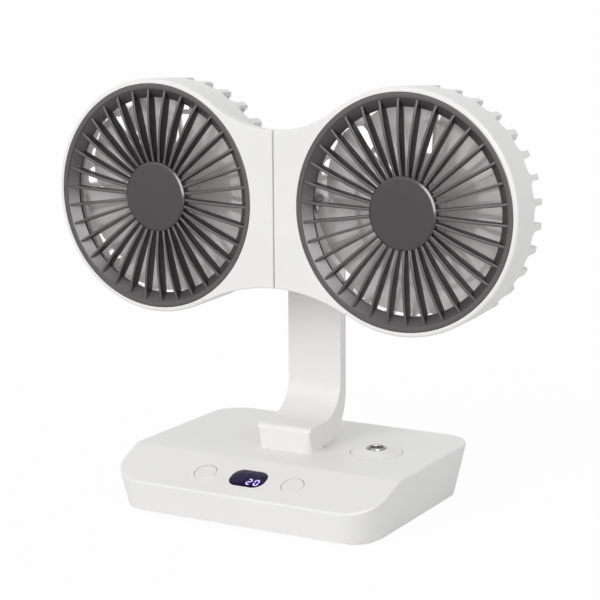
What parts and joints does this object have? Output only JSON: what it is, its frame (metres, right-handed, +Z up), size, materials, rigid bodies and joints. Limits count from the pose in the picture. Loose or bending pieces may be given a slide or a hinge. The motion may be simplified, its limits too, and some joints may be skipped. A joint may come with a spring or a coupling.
{
  "type": "dual-head desk fan",
  "caption": "Rechargeable desk fan with twin round fan heads that tilt on a J-shaped arm over a low base with a sloping control panel and a mist outlet.",
  "frame": {"origin": "middle of the footprint on the table: the seam between the heads is x = 0 and the base's front lip and back edge are equally far in front and behind", "axes": "+X to the right for someone facing the fans, along the twin heads; +Y from the front to the back, so the fans blow towards -Y; +Z up"},
  "size_m": [0.2736, 0.126, 0.2268],
  "materials": {
    "white_plastic": "satin white with a very fine grain",
    "button_plastic": "satin white, smoother than the casing",
    "grille_plastic": "satin dark warm grey",
    "disc_plastic": "fine satin dark grey with a brighter rim",
    "rotor_plastic": "smoky translucent grey, polished",
    "window_plastic": "polished black over the display",
    "bright_metal": "bright plated",
    "steel": "plain",
    "brass": "turned",
    "copper": "enamelled wire on steel teeth",
    "magnet": "sintered",
    "rubber": "matt",
    "battery_wrap": "shrink wrap",
    "grey_plastic": "moulded",
    "tank_plastic": "clear, slightly blue",
    "cotton": "pressed fibre",
    "circuit_board": "green solder mask",
    "board_parts": "black moulding",
    "cable": "flat insulated wires"
  },
  "bodies": {
    "base": {"base_shell": "white_plastic", "base_bottom": "white_plastic", "rubber_feet": "rubber", "base_screws": "steel", "display_window": "window_plastic", "display_module": "board_parts", "control_board": "circuit_board", "button_switches": "steel", "battery_cells": "battery_wrap", "battery_tray": "grey_plastic", "charge_board": "circuit_board", "usb_port": "steel", "water_tank": "tank_plastic", "mist_wick": "cotton", "arm_shell": "white_plastic", "arm_back_cover": "white_plastic", "arm_screws": "steel", "arm_cable": "cable", "pivot_block": "white_plastic", "pivot_screws": "steel", "tilt_bushes": "brass", "friction_washers": "steel"},
    "mist_lid": {"mist_cap": "white_plastic", "cap_seal": "rubber", "mist_disc": "steel", "mist_nozzle": "bright_metal"},
    "left_head": {"left_tilt_shaft": "steel", "left_head_shell": "white_plastic", "left_rear_cage": "white_plastic", "left_front_grille": "grille_plastic", "left_grille_disc": "disc_plastic", "left_motor_stator": "copper", "left_motor_board": "circuit_board", "left_motor_bearings": "brass", "left_rear_cap": "white_plastic", "left_head_screws": "steel"},
    "left_rotor": {"left_fan_rotor": "rotor_plastic", "left_rotor_magnet": "magnet", "left_motor_shaft": "steel"},
    "left_key": {"left_button": "button_plastic"},
    "right_head": {"right_tilt_shaft": "steel", "right_head_shell": "white_plastic", "right_rear_cage": "white_plastic", "right_front_grille": "grille_plastic", "right_grille_disc": "disc_plastic", "right_motor_stator": "copper", "right_motor_board": "circuit_board", "right_motor_bearings": "brass", "right_rear_cap": "white_plastic", "right_head_screws": "steel"},
    "right_rotor": {"right_fan_rotor": "rotor_plastic", "right_rotor_magnet": "magnet", "right_motor_shaft": "steel"},
    "right_key": {"right_button": "button_plastic"}
  },
  "joints": [
    {"name": "mist_lid_lift", "type": "slide", "parent": "base", "child": "mist_lid", "axis": [0, 0, 1], "range_m": [0, 0.025]},
    {"name": "left_head_tilt", "type": "hinge", "parent": "base", "child": "left_head", "pos_m": [-0.0105, -0.004, 0.164], "axis": [1, 0, 0], "range_deg": [-40, 40]},
    {"name": "left_rotor_spin", "type": "hinge", "parent": "left_head", "child": "left_rotor", "pos_m": [-0.074, -0.004, 0.164], "axis": [0, 1, 0], "continuous": true},
    {"name": "left_key_press", "type": "slide", "parent": "base", "child": "left_key", "axis": [0, 0.3661, -0.9306], "range_m": [0, 0.0006], "stiffness_N_per_m": 500, "springref_m": -0.0005},
    {"name": "right_head_tilt", "type": "hinge", "parent": "base", "child": "right_head", "pos_m": [0.0105, -0.004, 0.164], "axis": [1, 0, 0], "range_deg": [-40, 40]},
    {"name": "right_rotor_spin", "type": "hinge", "parent": "right_head", "child": "right_rotor", "pos_m": [0.074, -0.004, 0.164], "axis": [0, 1, 0], "continuous": true},
    {"name": "right_key_press", "type": "slide", "parent": "base", "child": "right_key", "axis": [0, 0.3661, -0.9306], "range_m": [0, 0.0006], "stiffness_N_per_m": 500, "springref_m": -0.0005}
  ]
}
